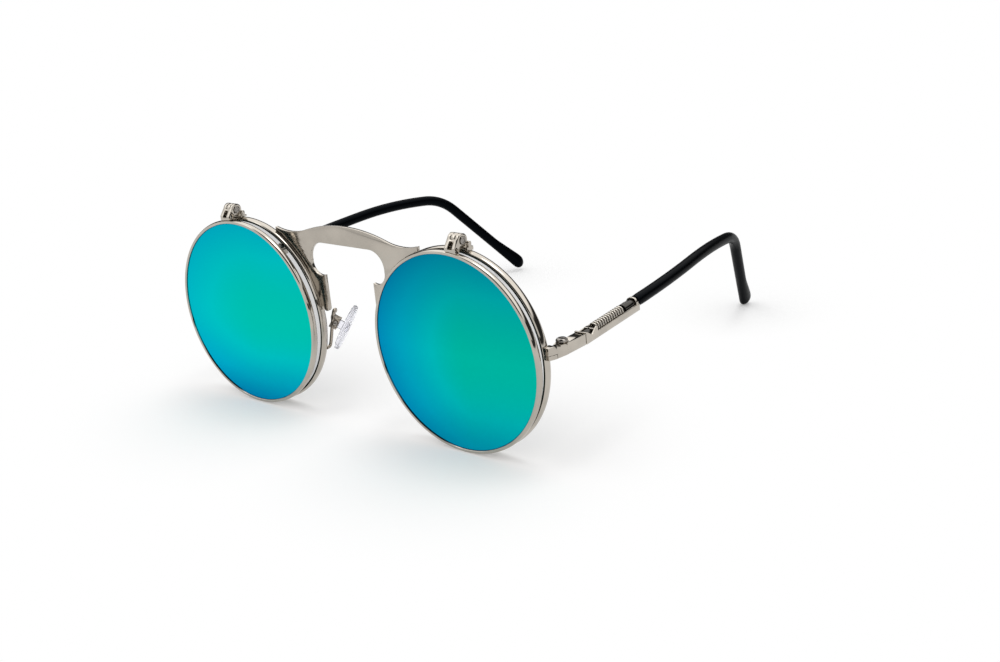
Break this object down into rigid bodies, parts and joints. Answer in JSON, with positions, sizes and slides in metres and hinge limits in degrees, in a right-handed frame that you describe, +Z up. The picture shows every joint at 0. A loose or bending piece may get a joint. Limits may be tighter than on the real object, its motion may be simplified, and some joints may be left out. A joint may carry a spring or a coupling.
{
  "type": "flip-up sunglasses",
  "caption": "Round metal sunglasses with mirrored front lenses that flip up on barrel hinges, clear lenses behind, folding temples with exposed coil springs and black ear tips.",
  "frame": {"origin": "middle of the bounding box in plan, on the table that the rims and the lower temple tip rest on", "axes": "the wearer looks along -Y, +X is the wearer's left, +Z is up; the temples run back along +Y"},
  "size_m": [0.1285, 0.1254, 0.0541],
  "materials": {
    "frame_metal": "polished nickel plate",
    "screw_steel": "bright turned steel",
    "spring_steel": "bright drawn wire",
    "core_steel": "dark polished rod",
    "tip_plastic": "glossy black acetate",
    "pad_clear": "clear soft plastic",
    "lens_clear": "clear polished plastic",
    "lens_mirror": "blue-green mirror coating on plastic"
  },
  "bodies": {
    "front": {"bridge_plate": "frame_metal", "eye_rim_left": "frame_metal", "eye_rim_right": "frame_metal", "rear_lens_left": "lens_clear", "rear_lens_right": "lens_clear", "flip_base_left": "frame_metal", "flip_base_right": "frame_metal", "flip_pin_left": "screw_steel", "flip_pin_right": "screw_steel", "endpiece_left": "frame_metal", "endpiece_right": "frame_metal", "rim_screw_left": "screw_steel", "rim_screw_right": "screw_steel", "hinge_screw_left": "screw_steel", "hinge_screw_right": "screw_steel", "pad_arm_left": "frame_metal", "pad_arm_right": "frame_metal", "pad_screw_left": "screw_steel", "pad_screw_right": "screw_steel"},
    "flip_left": {"flip_rim_left": "frame_metal", "flip_lens_left": "lens_mirror", "flip_bracket_left": "frame_metal"},
    "temple_left": {"hinge_block_left": "frame_metal", "temple_bar_left": "frame_metal", "temple_core_left": "core_steel", "temple_spring_left": "spring_steel", "temple_tip_left": "tip_plastic"},
    "pad_left": {"nose_pad_left": "pad_clear"},
    "flip_right": {"flip_rim_right": "frame_metal", "flip_lens_right": "lens_mirror", "flip_bracket_right": "frame_metal"},
    "temple_right": {"hinge_block_right": "frame_metal", "temple_bar_right": "frame_metal", "temple_core_right": "core_steel", "temple_spring_right": "spring_steel", "temple_tip_right": "tip_plastic"},
    "pad_right": {"nose_pad_right": "pad_clear"}
  },
  "joints": [
    {"name": "flip_left_hinge", "type": "hinge", "parent": "front", "child": "flip_left", "pos_m": [0.0388, -0.05951, 0.0525], "axis": [-1, 0, 0], "range_deg": [-0.4, 96]},
    {"name": "flip_right_hinge", "type": "hinge", "parent": "front", "child": "flip_right", "pos_m": [-0.0388, -0.05951, 0.0525], "axis": [-1, 0, 0], "range_deg": [-1.6, 96]},
    {"name": "temple_left_hinge", "type": "hinge", "parent": "front", "child": "temple_left", "pos_m": [0.0621, -0.05406, 0.0285], "axis": [0, 0, 1], "range_deg": [0, 80]},
    {"name": "temple_right_hinge", "type": "hinge", "parent": "front", "child": "temple_right", "pos_m": [-0.0621, -0.05406, 0.0285], "axis": [0, 0, -1], "range_deg": [0, 70]},
    {"name": "nose_pad_left_rock", "type": "hinge", "parent": "front", "child": "pad_left", "pos_m": [0.0122, -0.0531, 0.02313], "axis": [-0.5577, -0.8162, 0.1509], "range_deg": [-6, 6]},
    {"name": "nose_pad_right_rock", "type": "hinge", "parent": "front", "child": "pad_right", "pos_m": [-0.0122, -0.0531, 0.02313], "axis": [-0.5577, 0.8162, -0.1509], "range_deg": [-6, 6]}
  ]
}
